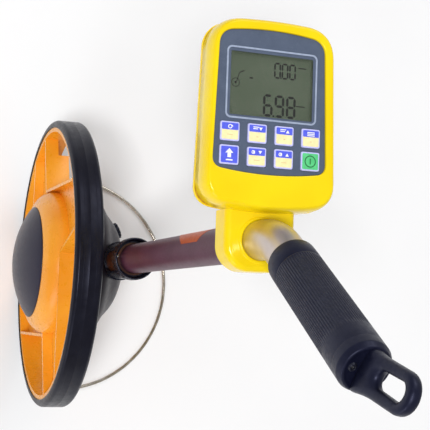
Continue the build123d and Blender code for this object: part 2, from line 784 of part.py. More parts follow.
def face_panel():
    low = PANEL_TOP_Z - PANEL_THICKNESS
    panel = panel_block(0, low, PANEL_TOP_Z)
    panel -= Pos(LCD_X, HEAD_Y, low - 1) * extrude(RectangleRounded(51.4, 70.4, 3), 5)
    for x, y in key_places():
        hole = RectangleRounded(KEY_LENGTH + 0.6, KEY_WIDTH + 0.6, 1.8)
        panel -= Pos(x, y, low - 1) * extrude(hole, 5)
    return panel


def key(x, y):
    stem = Pos(x, y, 479.2) * extrude(RectangleRounded(KEY_LENGTH, KEY_WIDTH, 1.5), 4.2)
    stem = fillet(stem.edges().group_by(Axis.Z)[-1], 0.5)
    flange = Pos(x, y, 479.2) * extrude(RectangleRounded(KEY_LENGTH + 1.2, KEY_WIDTH + 1.2, 3), 1.2)
    return stem + flange


def keypad_membrane():
    sheet = block(53.2, 88.6, HEAD_Y - 41.5, HEAD_Y + 41.5, 475.0, 476.4)
    return sheet + [post(3.6, 476.4, 478.0, x, y) for x, y in key_places()]


# ---- assembly ----
def place(shape):
    return Pos(-X_MID, -Y_MID, WHEEL_R) * shape


def all_nodes():
    wire = stand_wire()
    nodes = {
        "tyre": tyre(),
        "wheel_centre": wheel_centre(),
        "hub_cap": hub_cap(),
        "bearing_outer_races": bearing_rings(BEARING_OUTER_R, 8.9),
        "bearing_inner_races": bearing_rings(6.2, BEARING_BORE_R),
        "bearing_balls": bearing_balls(),
        "magnet_ring": magnet_ring(),
        "axle": axle(),
        "bearing_spacer": bearing_spacer(),
        "axle_washer": axle_washer(),
        "axle_nut": axle_nut(),
        "hub_housing": hub_housing(),
        "housing_cover": housing_cover(),
        "housing_screws": cover_screws(),
        "sensor_board": sensor_board(),
        "port_cap": port_cap(),
        "tube_socket": tube_socket(),
        "tube_liner": tube_liner(),
        "clamp_collet": clamp_collet(),
        "clamp_ring": clamp_ring(),
        "stand_wire": wire,
        "stand_ring": stand_ring(wire),
        "stand_washer": stand_washer(),
        "stand_retainer": stand_retainer(),
        "tube": tube(),
        "tube_foot": tube_foot(),
        "tube_label": tube_label(),
        "neck": neck(),
        "handle_tube": handle_tube(),
        "grip": grip(),
        "end_cap": end_cap(),
        "end_cap_screw": end_cap_screw(),
        "head_front_shell": head_front_shell(),
        "head_rear_shell": head_rear_shell(),
        "shell_gasket": shell_gasket(),
        "head_screws": head_screws(),
        "battery_door": battery_door(),
        "batteries": batteries(),
        "battery_holder": battery_holder(),
        "battery_contacts": battery_contacts(),
        "main_board": main_board(),
        "board_components": board_components(),
        "lcd_module": lcd_module(),
        "display_lens": display_lens(),
        "display_bezel": display_bezel(),
        "face_panel": face_panel(),
        "keypad_membrane": keypad_membrane(),
    }
    for name, (x, y) in zip(KEY_NAMES, key_places()):
        nodes[name] = key(x, y)
    return nodes


os.makedirs("parts", exist_ok=True)
for node_name, shape in all_nodes().items():
    export_step(place(shape), f"parts/{node_name}.step")
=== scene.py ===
import json
import math

import bmesh
import bpy
from mathutils import Matrix, Vector


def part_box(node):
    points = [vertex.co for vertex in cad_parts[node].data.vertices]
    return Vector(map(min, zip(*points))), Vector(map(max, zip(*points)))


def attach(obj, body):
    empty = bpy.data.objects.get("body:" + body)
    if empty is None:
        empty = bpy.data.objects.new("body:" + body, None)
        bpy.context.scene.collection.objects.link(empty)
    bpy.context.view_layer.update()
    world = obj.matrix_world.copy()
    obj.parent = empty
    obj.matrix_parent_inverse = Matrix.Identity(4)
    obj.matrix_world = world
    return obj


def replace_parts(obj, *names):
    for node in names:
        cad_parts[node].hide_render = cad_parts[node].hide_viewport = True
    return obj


# A digital measuring wheel: tyred wheel, hub, tube, display head and grip.
# Lengths named here are in millimetres from the centre of the wheel, as in the design:
# +X forward, +Y towards the hub cap, +Z up. at() turns them into the frame's metres.

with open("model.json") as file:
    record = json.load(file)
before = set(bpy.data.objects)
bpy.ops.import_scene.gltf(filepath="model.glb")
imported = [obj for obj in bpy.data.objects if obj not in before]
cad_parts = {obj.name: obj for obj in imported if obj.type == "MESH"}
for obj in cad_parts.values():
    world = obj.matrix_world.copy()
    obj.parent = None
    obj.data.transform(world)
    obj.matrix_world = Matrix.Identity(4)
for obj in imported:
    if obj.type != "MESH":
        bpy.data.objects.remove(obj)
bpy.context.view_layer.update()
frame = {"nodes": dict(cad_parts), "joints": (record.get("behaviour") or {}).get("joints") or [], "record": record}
NODES = frame["nodes"]
JOINTS = {joint["name"]: joint for joint in frame["joints"]}
AXLE = Vector(JOINTS["wheel_spin"]["pos_m"])
MM = 0.001

# ---- driving sizes ----
TYRE_R = 159.15
TYRE_HALF = 14.65
RIM_R = 151.0
CAP_R = 61.0
TUBE_X = 2.5
TUBE_Y = -53.5
TUBE_R = 15.0
HEAD_Y = TUBE_Y
SHELL_Y = HEAD_Y - 2.0
LCD_Z = 480.3
SHELL_TOP_Z = 484.2
SHOULDER_RISE = 12.0
SHOULDER_INSET = 4.2
LCD_X = 117.3
GRIP_TILT = math.radians(31.2)
BEND_Z = 499.0
GRIP_START = 34.0
GRIP_END = 155.0
END_FACE = 167.0
GRIP_R = 18.1


def at(x, y, z):
    return AXLE + Vector((x, y, z)) * MM


def srgb(red, green, blue):
    """A colour from 0-255 screen values, as linear light."""
    def linear(value):
        share = value / 255
        return share / 12.92 if share <= 0.04045 else ((share + 0.055) / 1.055) ** 2.4
    return (linear(red), linear(green), linear(blue), 1.0)


# ---- materials ----
class Look:
    """Builds one procedural material. Textures sit in the object's own space, in metres."""

    def __init__(self, name, colour, rough, metallic=0.0, specular=0.5):
        self.material = bpy.data.materials.new(name)
        self.material.use_nodes = True
        self.tree = self.material.node_tree
        self.shader = self.tree.nodes["Principled BSDF"]
        self.shader.inputs["Base Color"].default_value = colour
        self.shader.inputs["Roughness"].default_value = rough
        self.shader.inputs["Metallic"].default_value = metallic
        self.shader.inputs["Specular IOR Level"].default_value = specular
        self.colour = colour
        self.rough = rough
        self.space = self.tree.nodes.new("ShaderNodeTexCoord").outputs["Object"]

    def set(self, socket, value):
        self.shader.inputs[socket].default_value = value
        return self

    def node(self, kind, **settings):
        made = self.tree.nodes.new(kind)
        for key, value in settings.items():
            setattr(made, key, value)
        return made

    def link(self, source, target):
        self.tree.links.new(source, target)

    def stretched(self, scale):
        mapping = self.node("ShaderNodeMapping")
        mapping.inputs["Scale"].default_value = scale
        self.link(self.space, mapping.inputs["Vector"])
        return mapping.outputs["Vector"]

    def noise(self, scale, detail=3.0, space=None):
        made = self.node("ShaderNodeTexNoise")
        made.inputs["Scale"].default_value = scale
        made.inputs["Detail"].default_value = detail
        self.link(space or self.space, made.inputs["Vector"])
        return made.outputs["Fac"]

    def ranged(self, value, low, high, start=0.35, end=0.65):
        made = self.node("ShaderNodeMapRange")
        made.inputs["From Min"].default_value = start
        made.inputs["From Max"].default_value = end
        made.inputs["To Min"].default_value = low
        made.inputs["To Max"].default_value = high
        self.link(value, made.inputs["Value"])
        return made.outputs["Result"]

    def mottled(self, other, scale, amount=1.0, space=None):
        """Drifts the colour towards another one in soft patches."""
        mix = self.node("ShaderNodeMix", data_type="RGBA")
        mix.inputs["A"].default_value = self.colour
        mix.inputs["B"].default_value = other
        share = self.ranged(self.noise(scale, 4.0, space), 0.0, amount)
        self.link(share, mix.inputs["Factor"])
        self.link(mix.outputs["Result"], self.shader.inputs["Base Color"])
        self.colour_out = mix.outputs["Result"]
        return self

    def speckled(self, other, scale, threshold=0.62, amount=0.6):
        """Adds small specks, such as dust or worn spots, on top of the mottling."""
        mix = self.node("ShaderNodeMix", data_type="RGBA")
        self.link(self.colour_out, mix.inputs["A"])
        mix.inputs["B"].default_value = other
        share = self.ranged(self.noise(scale, 2.0), 0.0, amount, threshold, threshold + 0.08)
        self.link(share, mix.inputs["Factor"])
        self.link(mix.outputs["Result"], self.shader.inputs["Base Color"])
        self.colour_out = mix.outputs["Result"]
        return self

    def uneven(self, spread, scale, space=None):
        """Roughness that wanders either side of its usual value."""
        share = self.ranged(self.noise(scale, 3.0, space), self.rough - spread, self.rough + spread)
        self.link(share, self.shader.inputs["Roughness"])
        return self

    def grain(self, scale, depth, strength=0.5, space=None, detail=3.0):
        """Fine raised texture. Each call lies on top of the one before."""
        bump = self.node("ShaderNodeBump")
        bump.inputs["Strength"].default_value = strength
        bump.inputs["Distance"].default_value = depth * MM
        self.link(self.noise(scale, detail, space), bump.inputs["Height"])
        if getattr(self, "normal_out", None):
            self.link(self.normal_out, bump.inputs["Normal"])
        self.link(bump.outputs["Normal"], self.shader.inputs["Normal"])
        self.normal_out = bump.outputs["Normal"]
        return self


LOOKS = {}


def add(slot, look):
    LOOKS[slot] = look.material
    return look


def wheel_looks():
    """The wheel, its cap, the hub and what is inside them."""
    tyre = add("tyre_rubber", Look("tyre_rubber", srgb(13, 12, 20), 0.34, specular=0.22))
    tyre.mottled(srgb(18, 18, 27), 60).speckled(srgb(40, 39, 46), 900, 0.68, 0.25)
    tyre.set("Specular Tint", (0.7, 0.72, 1.0, 1.0))
    tyre.uneven(0.06, 220).grain(1400, 0.06, 0.3)
    wheel = add("wheel_plastic", Look("wheel_plastic", srgb(243, 168, 44), 0.3))
    wheel.mottled(srgb(232, 148, 26), 14).uneven(0.04, 180).grain(900, 0.015, 0.25)
    cap = add("cap_plastic", Look("cap_plastic", srgb(36, 34, 52), 0.36, specular=0.3))
    cap.mottled(srgb(40, 37, 53), 30).uneven(0.03, 240).grain(1600, 0.04, 0.3)
    housing = add("housing_plastic", Look("housing_plastic", srgb(26, 19, 30), 0.42, specular=0.3))
    housing.mottled(srgb(30, 23, 34), 35).uneven(0.04, 260).grain(1500, 0.05, 0.3)
    bearing = add("bearing_steel", Look("bearing_steel", srgb(190, 192, 196), 0.24, metallic=1.0))
    bearing.mottled(srgb(170, 170, 176), 300).uneven(0.06, 900)
    axle = add("axle_steel", Look("axle_steel", srgb(176, 178, 184), 0.34, metallic=1.0))
    axle.mottled(srgb(150, 148, 140), 200).uneven(0.08, 700).grain(2500, 0.03, 0.3)
    magnet = add("magnet_black", Look("magnet_black", srgb(46, 46, 48), 0.55))
    magnet.mottled(srgb(58, 56, 56), 400).grain(2500, 0.05, 0.5)
    board = add("board_green", Look("board_green", srgb(24, 96, 52), 0.35))
    board.mottled(srgb(30, 118, 62), 500).uneven(0.08, 900).grain(3000, 0.02, 0.5)
    chips = add("component_black", Look("component_black", srgb(34, 34, 37), 0.5))
    chips.mottled(srgb(44, 44, 46), 600).grain(3200, 0.03, 0.6)


def tube_looks():
    """The clamp, stand, tube and label."""
    black = add("black_plastic", Look("black_plastic", srgb(14, 15, 27), 0.28, specular=0.35))
    black.mottled(srgb(23, 24, 34), 90).uneven(0.07, 300).grain(1300, 0.05, 0.3)
    black.set("Specular Tint", (0.7, 0.74, 1.0, 1.0))
    black.set("Coat Weight", 0.12).set("Coat Roughness", 0.2)
    liner = add("liner_nylon", Look("liner_nylon", srgb(74, 38, 16), 0.42, specular=0.35))
    liner.mottled(srgb(56, 28, 12), 120).uneven(0.06, 500).grain(1800, 0.04, 0.4)
    stand = add("stand_steel", Look("stand_steel", srgb(206, 200, 190), 0.16, metallic=1.0))
    stand.mottled(srgb(176, 166, 150), 150).uneven(0.07, 600).grain(2600, 0.02, 0.25)
    tube = add("tube_paint", Look("tube_paint", srgb(84, 48, 66), 0.42, specular=0.2))
    tube.mottled(srgb(74, 40, 56), 45).uneven(0.03, 500).grain(2200, 0.012, 0.3)
    tube.set("Specular Tint", (1.0, 0.72, 0.8, 1.0)).set("Coat Weight", 0.02).set("Coat Roughness", 0.3)
    label = add("label_vinyl", Look("label_vinyl", srgb(188, 78, 8), 0.4, specular=0.15))
    label.mottled(srgb(172, 68, 4), 200).uneven(0.04, 600).grain(2000, 0.008, 0.2)


def head_looks():
    """The head's shell, the handle, the grip and the display."""
    head = add("head_plastic", Look("head_plastic", srgb(246, 218, 14), 0.2, specular=0.3))
    head.mottled(srgb(242, 208, 8), 18).uneven(0.05, 160).grain(700, 0.05, 0.14)
    head.set("Coat Weight", 0.16).set("Coat Roughness", 0.1)
    head.set("Specular Tint", (1.0, 0.9, 0.55, 1.0))
    handle = add("handle_metal", Look("handle_metal", srgb(206, 196, 190), 0.36, metallic=1.0))
    handle.mottled(srgb(190, 180, 180), 40).uneven(0.03, 500).grain(2600, 0.01, 0.2)
    grip = add("grip_rubber", Look("grip_rubber", srgb(12, 14, 31), 0.4, specular=0.35))
    grip.mottled(srgb(17, 19, 37), 110).speckled(srgb(34, 37, 58), 1200, 0.7, 0.2)
    grip.set("Specular Tint", (0.62, 0.66, 1.0, 1.0))
    grip.uneven(0.07, 400).grain(1800, 0.1, 0.5)
    gasket = add("gasket_rubber", Look("gasket_rubber", srgb(196, 146, 14), 0.5))
    gasket.mottled(srgb(176, 126, 8), 200).grain(1500, 0.05, 0.4)
    panel = add("panel_film", Look("panel_film", srgb(78, 90, 112), 0.42))
    panel.mottled(srgb(70, 82, 104), 70).speckled(srgb(112, 124, 146), 1900, 0.6, 0.35)
    panel.uneven(0.06, 700).grain(2600, 0.03, 0.6)
    bezel = add("bezel_print", Look("bezel_print", srgb(160, 172, 194), 0.4))
    bezel.mottled(srgb(146, 158, 182), 300).grain(2600, 0.01, 0.3)
    lens = add("lens_clear", Look("lens_clear", srgb(40, 44, 40), 0.08))
    lens.uneven(0.03, 240).set("Alpha", 0.05)
    lens.material.blend_method = "BLEND"
    lcd = add("lcd_film", Look("lcd_film", srgb(122, 134, 114), 0.35))
    lcd.mottled(srgb(114, 127, 106), 60).uneven(0.05, 500).grain(4200, 0.01, 0.4)


def key_looks():
    """The keys, and the parts inside the head."""
    cream = add("key_cream", Look("key_cream", srgb(252, 240, 184), 0.42))
    cream.mottled(srgb(246, 228, 168), 260).uneven(0.05, 800).grain(2800, 0.02, 0.5)
    blue = add("key_blue", Look("key_blue", srgb(88, 100, 232), 0.42))
    blue.mottled(srgb(78, 90, 222), 260).uneven(0.05, 800).grain(2800, 0.02, 0.5)
    green = add("key_green", Look("key_green", srgb(92, 208, 134), 0.42))
    green.mottled(srgb(80, 196, 122), 260).uneven(0.05, 800).grain(2800, 0.02, 0.5)
    membrane = add("membrane_rubber", Look("membrane_rubber", srgb(186, 186, 188), 0.6))
    membrane.mottled(srgb(172, 172, 176), 300).grain(1500, 0.05, 0.5)
    cell = add("cell_wrap", Look("cell_wrap", srgb(52, 56, 64), 0.3, metallic=0.4))
    cell.mottled(srgb(70, 74, 80), 120).uneven(0.06, 500).grain(2600, 0.01, 0.3)
    spring = add("spring_steel", Look("spring_steel", srgb(210, 210, 214), 0.2, metallic=1.0))
    spring.mottled(srgb(186, 184, 182), 300).uneven(0.06, 700)


def build_prints():
    """Colours printed on the panel and the keys, and the display's dark segments."""
    prints = {}
    for name, colour, other in (
        ("print_white", srgb(250, 250, 246), srgb(236, 236, 234)),
        ("print_lavender", srgb(200, 202, 250), srgb(188, 190, 242)),
        ("print_dark", srgb(20, 24, 23), srgb(26, 30, 28)),
        ("print_tan", srgb(226, 206, 150), srgb(216, 194, 138)),
        ("print_forest", srgb(26, 110, 62), srgb(20, 98, 54)),
    ):
        look = Look(name, colour, 0.45)
        look.mottled(other, 400).uneven(0.05, 900).grain(2800, 0.01, 0.4)
        prints[name] = look.material
    return prints


wheel_looks()
tube_looks()
head_looks()
key_looks()
PRINTS = build_prints()


def dress_frame():
    """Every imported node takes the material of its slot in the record."""
    for part in frame["record"]["subparts"]:
        node = NODES[part["node"]]
        node.data.materials.clear()
        node.data.materials.append(LOOKS[part["material_slot"]])


dress_frame()


# ---- mesh tools ----
def piece(name, verts, faces, body, slot, look=None, crisp=38.0):
    """A mesh in metres that rides on a body and wears the look of a record slot."""
    data = bpy.data.meshes.new(name)
    data.from_pydata([tuple(v) for v in verts], [], faces)
    work = bmesh.new()
    work.from_mesh(data)
    bmesh.ops.remove_doubles(work, verts=work.verts, dist=1e-7)
    bmesh.ops.recalc_face_normals(work, faces=work.faces)
    work.to_mesh(data)
    work.free()
    data.shade_smooth()
    data.set_sharp_from_angle(angle=math.radians(crisp))
    data.materials.append(look or LOOKS[slot])
    made = bpy.data.objects.new(name, data)
    bpy.context.scene.collection.objects.link(made)
    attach(made, body)
    return made


def soften(points, steps=5, closed=True):
    """Rounds the corners of a polyline. Each point is (a, b) or (a, b, radius)."""
    result = []
    count = len(points)
    for index, point in enumerate(points):
        radius = point[2] if len(point) > 2 else 0.0
        here = Vector(point[:2])
        at_end = not closed and index in (0, count - 1)
        if radius <= 0 or at_end:
            result.append(here)
            continue
        back = Vector(points[index - 1][:2]) - here
        ahead = Vector(points[(index + 1) % count][:2]) - here
        half = back.angle(ahead) / 2
        reach = min(radius / math.tan(half), back.length * 0.49, ahead.length * 0.49)
        start = here + back.normalized() * reach
        end = here + ahead.normalized() * reach
        for step in range(steps + 1):
            t = step / steps
            result.append(start.lerp(here, t).lerp(here.lerp(end, t), t))
    return result


def placing(origin, x_dir, z_dir):
    """A matrix from local millimetres to the frame's metres."""
    z = Vector(z_dir).normalized()
    x = Vector(x_dir).normalized()
    y = z.cross(x)
    turn = Matrix((x, y, z)).transposed().to_4x4()
    return Matrix.Translation(origin) @ turn @ Matrix.Scale(MM, 4)


def about_wheel():
    """Local Z along the wheel's axle, towards the hub cap."""
    return placing(AXLE, (1, 0, 0), (0, 1, 0))


def about_tube(z=0.0):
    return placing(at(TUBE_X, TUBE_Y, z), (1, 0, 0), (0, 0, 1))


def about_grip(along=0.0):
    direction = Vector((-math.sin(GRIP_TILT), 0, math.cos(GRIP_TILT)))
    start = at(TUBE_X, TUBE_Y, BEND_Z) + direction * along * MM
    return placing(start, (math.cos(GRIP_TILT), 0, math.sin(GRIP_TILT)), direction)


def lathe(profile, place, steps=160, closed=True, shape=None):
    """Turns (radius, height) points about local Z. shape(radius, height, angle) may vary the radius."""
    verts = []
    faces = []
    count = len(profile)
    for step in range(steps):
        angle = 2 * math.pi * step / steps
        for radius, height in profile:
            if shape:
                radius = shape(radius, height, angle)
            verts.append(place @ Vector((radius * math.cos(angle), radius * math.sin(angle), height)))
    spans = count if closed else count - 1
    for step in range(steps):
        near = step * count
        far = ((step + 1) % steps) * count
        for index in range(spans):
            other = (index + 1) % count
            faces.append((near + index, near + other, far + other, far + index))
    return verts, faces


def slab(outline, low, high, place, edge=0.0, rings=3, hole=None):
    """A plate from a local outline, with its top edge rounded, and an optional hole outline."""
    def inset(points, amount):
        moved = []
        count = len(points)
        for index, point in enumerate(points):
            along = (points[(index + 1) % count] - points[index - 1]).normalized()
            moved.append(point + Vector((-along.y, along.x)) * amount)
        return moved

    points = [Vector(p[:2]) for p in outline]
    area = sum(a.x * b.y - b.x * a.y for a, b in zip(points, points[1:] + points[:1]))
    if area < 0:
        points.reverse()
    levels = [(0.0, low), (0.0, high - edge)]
    for ring in range(1, rings + 1 if edge else 0):
        turn = math.pi / 2 * ring / rings
        levels.append((edge * (1 - math.cos(turn)), high - edge + edge * math.sin(turn)))
    verts = []
    faces = []
    count = len(points)
    for amount, height in levels:
        for point in inset(points, amount) if amount else points:
            verts.append(place @ Vector((point.x, point.y, height)))
    for level in range(len(levels) - 1):
        for index in range(count):
            other = (index + 1) % count
            base = level * count
            faces.append((base + index, base + other, base + count + other, base + count + index))
    top = (len(levels) - 1) * count
    if hole is None:
        faces.append(tuple(range(top, top + count)))
        faces.append(tuple(reversed(range(count))))
        return verts, faces
    inner = [Vector(p[:2]) for p in hole]
    if sum(a.x * b.y - b.x * a.y for a, b in zip(inner, inner[1:] + inner[:1])) < 0:
        inner.reverse()
    start = len(verts)
    size = len(inner)
    for height in (low, high):
        for point in inner:
            verts.append(place @ Vector((point.x, point.y, height)))
    for index in range(size):
        other = (index + 1) % size
        faces.append((start + other, start + index, start + size + index, start + size + other))
    faces += bridge(list(range(top, top + count)), list(range(start + size, start + 2 * size)), verts)
    faces += bridge(list(range(count)), list(range(start, start + size)), verts)
    return verts, faces


def bridge(outer, inner, verts):
    """Triangles between two loops that go round the same way, pairing nearest points."""
    faces = []
    offset = min(range(len(inner)), key=lambda k: (verts[inner[k]] - verts[outer[0]]).length)
    inner = inner[offset:] + inner[:offset]
    i = 0
    j = 0
    while i < len(outer) or j < len(inner):
        a = outer[i % len(outer)]
        b = inner[j % len(inner)]
        next_a = outer[(i + 1) % len(outer)]
        next_b = inner[(j + 1) % len(inner)]
        step_outer = (verts[next_a] - verts[b]).length
        step_inner = (verts[next_b] - verts[a]).length
        if j >= len(inner) or (i < len(outer) and step_outer <= step_inner):
            faces.append((a, next_a, b))
            i += 1
        else:
            faces.append((a, next_b, b))
            j += 1
    return faces


def rounded_rectangle(width, height, radius, centre=(0, 0), steps=6):
    a = width / 2
    b = height / 2
    corners = [(-a, -b), (a, -b), (a, b), (-a, b)]
    return soften([(centre[0] + x, centre[1] + y, radius) for x, y in corners], steps)


def circle(radius, centre=(0, 0), steps=28):
    angles = [2 * math.pi * step / steps for step in range(steps)]
    return [Vector((centre[0] + radius * math.cos(a), centre[1] + radius * math.sin(a))) for a in angles]


def bar(start, end, width):
    """The outline of a straight stroke between two points."""
    along = (Vector(end) - Vector(start)).normalized()
    side = Vector((-along.y, along.x)) * width / 2
    return [Vector(start) - side, Vector(end) - side, Vector(end) + side, Vector(start) + side]


def oval(half_width, half_height, power=3.0, steps=28):
    """A superellipse section: power 2 is an ellipse, more is squarer."""
    points = []
    for step in range(steps):
        angle = 2 * math.pi * step / steps
        c = math.cos(angle)
        s = math.sin(angle)
        points.append((
            half_width * math.copysign(abs(c) ** (2 / power), c),
            half_height * math.copysign(abs(s) ** (2 / power), s),
        ))
    return points


# ---- wheel ----
def tyre():
    """Solid rubber tyre: rounded shoulders, fine tread grooves and a moulding line."""
    groove = 0.16
    profile = [(149.0, -4.0), (RIM_R, -5.0), (RIM_R, -TYRE_HALF + 0.3, 0.3), (RIM_R + 0.6, -TYRE_HALF, 0.4)]
    profile += [(154.2, -TYRE_HALF, 0.5), (154.6, -TYRE_HALF + 0.35, 0.3), (155.2, -TYRE_HALF + 0.25, 0.4)]
    profile += [(157.6, -TYRE_HALF + 1.5, 2.4), (TYRE_R - 0.1, -10.9, 2.4)]
    for y in (-6.5, 6.5):
        profile += [(TYRE_R - 0.1, y - 0.5, 0.1), (TYRE_R - groove, y, 0.1), (TYRE_R - 0.1, y + 0.5, 0.1)]
        if y < 0:
            profile += [(TYRE_R - 0.1, -0.35), (TYRE_R, -0.1), (TYRE_R, 0.1), (TYRE_R - 0.1, 0.35)]
    profile += [(TYRE_R - 0.1, 10.9, 2.4), (157.6, TYRE_HALF - 1.5, 2.4)]
    profile += [(155.2, TYRE_HALF - 0.25, 0.4), (154.6, TYRE_HALF - 0.35, 0.3), (154.2, TYRE_HALF, 0.5)]
    profile += [(RIM_R + 0.6, TYRE_HALF, 0.4), (RIM_R, TYRE_HALF - 0.3, 0.3), (RIM_R, 5.0), (149.0, 4.0)]
    verts, faces = lathe(soften(profile, 4), about_wheel(), steps=288)
    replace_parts(piece("tyre_tread", verts, faces, "wheel", "tyre_rubber", crisp=50), "tyre")


def hub_cap():
    """Domed cap with a soft rim and a shadow groove where it meets the hub bell."""
    profile = [(0.0, 48.0)]
    for step in range(1, 22):
        r = 57.5 * step / 21
        profile.append((r, 48.0 - 17.0 * (r / CAP_R) ** 2 - 1.6 * (r / CAP_R) ** 6))
    profile += [(60.0, 29.9, 1.0), (CAP_R, 28.9, 0.6), (CAP_R, 28.05)]
    profile += [(58.0, 28.05), (55.5, 30.6), (30.0, 40.8), (0.0, 45.4)]
    verts, faces = lathe(soften(profile, 4, closed=False), about_wheel(), steps=160, closed=False)
    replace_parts(piece("hub_cap_dome", verts, faces, "wheel", "cap_plastic", crisp=50), "hub_cap")


# ---- tube clamp ----
def clamp_ring():
    """Threaded clamp ring: ribbed skirt, plain band, and an open cup with a rounded lip."""
    ribs = 24
    low, high = (corner.z / MM - AXLE.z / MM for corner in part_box("clamp_ring"))

    def ribbed(radius, height, angle):
        if radius > 21.5 and low + 1.2 < height < low + 9.4:
            return radius - 0.55 * (0.5 + 0.5 * math.cos(ribs * angle)) ** 3
        return radius

    profile = [(18.7, low + 0.1, 0.5), (21.6, low + 0.1, 1.0)]
    profile += [(21.9, low + 0.9 + 0.8 * step) for step in range(11)]
    profile += [(21.9, low + 9.8, 0.4), (21.1, low + 10.3, 0.4), (21.6, low + 10.9, 0.4)]
    profile += [(21.6, high - 0.9, 0.7), (21.0, high, 0.6), (20.0, high, 0.6), (19.5, high - 1.2, 0.6)]
    profile += [(19.4, high - 5.4, 0.3), (18.7, high - 6.4, 0.3)]
    verts, faces = lathe(soften(profile, 4), about_tube(), steps=ribs * 10, shape=ribbed)
    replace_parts(piece("clamp_ring_ribbed", verts, faces, "clamp", "black_plastic", crisp=45), "clamp_ring")


def clamp_screw():
    """Small pan-head screw on the collet, seen inside the cup."""
    spot = at(TUBE_X + 2.0, TUBE_Y + 16.85, 0)
    spot.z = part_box("clamp_collet")[1].z
    place = placing(spot, (1, 0, 0), (0, 0, 1))
    profile = soften([(0, 1.0), (0.9, 0.95, 0.3), (1.3, 0.2, 0.3), (1.3, 0.0), (0, 0.0)], 4, closed=False)
    verts, faces = lathe(profile, place, steps=32, closed=False)
    piece("collet_screw", verts, faces, "chassis", "spring_steel")


# ---- grip ----
def grip():
    """Moulded rubber grip: a smooth collar, then fine lengthwise ribs, then a smooth end."""
    ribs = 64
    start = GRIP_START + 19.0
    end = GRIP_END - 13.0

    def ribbed(radius, height, angle):
        if radius < 17.0:
            return radius
        ramp = min(max((height - start) / 1.5, 0.0), max((end - height) / 6.0, 0.0), 1.0)
        return radius - 0.42 * ramp * (0.5 - 0.5 * math.cos(ribs * angle))

    profile = [(TUBE_R + 0.02, GRIP_START), (16.2, GRIP_START, 0.6), (17.9, GRIP_START + 0.6, 1.4)]
    profile += [(GRIP_R, GRIP_START + 6.0), (GRIP_R, start - 1.6)]
    profile += [(GRIP_R - 0.35, start - 1.1), (GRIP_R, start - 0.6)]
    steps = 40
    profile += [(GRIP_R, start + (end - start) * step / steps) for step in range(steps + 1)]
    profile += [(GRIP_R, start + 0.75), (GRIP_R, end - 0.75)]
    profile = sorted(profile[2:], key=lambda p: p[1])
    opening = [(TUBE_R + 0.02, GRIP_START), (16.2, GRIP_START, 0.6)]
    closing = [(GRIP_R, GRIP_END - 0.06, 0.04), (GRIP_R - 0.06, GRIP_END, 0.04), (TUBE_R + 0.02, GRIP_END)]
    verts, faces = lathe(soften(opening + profile + closing, 3), about_grip(), steps=ribs * 8, shape=ribbed)
    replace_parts(piece("grip_ribbed", verts, faces, "mast", "grip_rubber", crisp=50), "grip")


def end_cap():
    """Turned end cap with a dished face and a bright rounded rim."""
    outer = GRIP_R
    face = END_FACE
    low = GRIP_END
    profile = [(TUBE_R, low + 0.04), (outer - 0.05, low + 0.04, 0.04), (outer, low + 0.1, 0.04)]
    profile += [(outer, face - 4.4, 3.0), (outer - 1.9, face - 0.3, 1.6), (outer - 3.3, face, 1.4)]
    profile += [(outer - 5.2, face - 0.6, 1.6), (6.0, face - 1.4), (0.0, face - 1.5)]
    profile += [(0.0, low + 3.0), (TUBE_R, low + 3.0)]
    verts, faces = lathe(soften(profile, 5, closed=False), about_grip(), steps=160, closed=False)
    cap = piece("end_cap_dished", verts, faces, "mast", "black_plastic", LOOKS["grip_rubber"], crisp=50)
    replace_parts(cap, "end_cap")


def slot_ring(low, high, half, floor):
    """Points round a long slot: top arc, one side, bottom arc, other side, never below the floor."""
    points = []
    for step in range(21):
        turn = math.pi * step / 20
        points.append(Vector((half * math.cos(turn), high + half * math.sin(turn))))
    points += [Vector((-half, high + (low - high) * step / 13)) for step in range(1, 13)]
    for step in range(21):
        turn = math.pi + math.pi * step / 20
        points.append(Vector((half * math.cos(turn), low + half * math.sin(turn))))
    points += [Vector((half, low + (high - low) * step / 13)) for step in range(1, 13)]
    return [Vector((point.x, max(point.y, floor))) for point in points]


def hanging_loop():
    """Thick rounded eyelet with a web at its foot, where it spreads into the end cap."""
    lean = math.radians(16.0)
    turn = Matrix.Rotation(-lean, 4, "Z") @ Matrix.Rotation(lean, 4, "Y")
    place = about_grip(END_FACE) @ turn
    outer = slot_ring(-2.0, 39.5, 13.4, -6.0)
    inner = slot_ring(20.5, 38.9, 5.4, 0.0)
    for point in inner:
        point.x *= 1.0 + 0.1 * (point.y - 21.5) / 17.0
    for point in outer:
        foot = max(0.0, 1.0 - (point.y + 6.0) / 22.0)
        point.x *= 1.0 + 0.22 * foot ** 1.6
    section = oval(0.5, 1.0, power=2.5, steps=24)
    verts = []
    for far, near in zip(outer, inner):
        foot = max(0.0, 1.0 - (far.y + 6.0) / 20.0) ** 2
        for across, up in section:
            spot = near.lerp(far, 0.5 + across)
            verts.append(place @ Vector((spot.x, up * (4.5 + 1.2 * foot), spot.y)))
    count = len(outer)
    size = len(section)
    faces = []
    for index in range(count):
        here = index * size
        ahead = ((index + 1) % count) * size
        for k in range(size):
            other = (k + 1) % size
            faces.append((here + k, here + other, ahead + other, ahead + k))
    piece("hanging_loop", verts, faces, "mast", "black_plastic", LOOKS["grip_rubber"], crisp=60)


